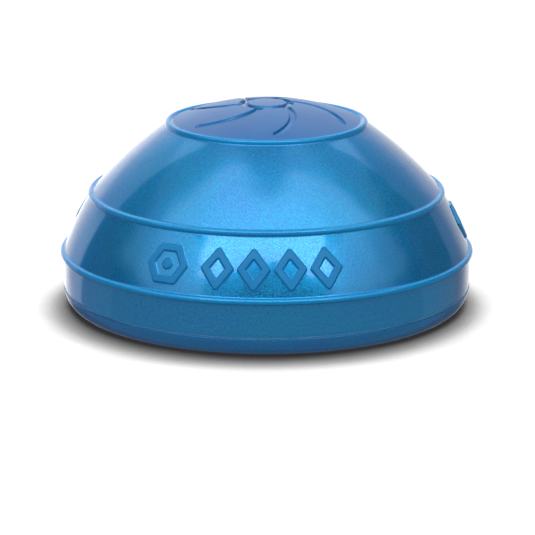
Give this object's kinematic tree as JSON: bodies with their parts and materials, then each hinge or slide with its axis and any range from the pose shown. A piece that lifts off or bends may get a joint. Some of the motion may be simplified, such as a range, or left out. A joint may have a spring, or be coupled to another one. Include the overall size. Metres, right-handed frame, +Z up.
{
  "type": "balance dome trainer",
  "caption": "Small air-filled half dome for balance and foot exercises, with raised hoops, a channelled crown pad, side grip marks, a treaded base and a plugged needle valve.",
  "frame": {"origin": "centre of the underside, on the surface that the dome stands on", "axes": "+Z up along the dome's axis, -Y towards the middle of the first group of side marks"},
  "size_m": [0.165, 0.165, 0.081],
  "materials": {
    "dome_skin": "glossy soft vinyl with a fine pearl fleck",
    "base_skin": "soft vinyl, glossy at the foot and matt on the tread",
    "valve_seat": "plain moulded vinyl",
    "valve_core": "dull soft rubber",
    "valve_plug": "satin moulded plastic"
  },
  "bodies": {
    "pod": {"dome_shell": "dome_skin", "base_shell": "base_skin", "valve_seat": "valve_seat", "valve_core": "valve_core"},
    "plug": {"valve_plug": "valve_plug"}
  },
  "joints": [
    {"name": "plug_pull", "type": "slide", "parent": "pod", "child": "plug", "axis": [0, 0, -1], "range_m": [0, 0.014]}
  ]
}
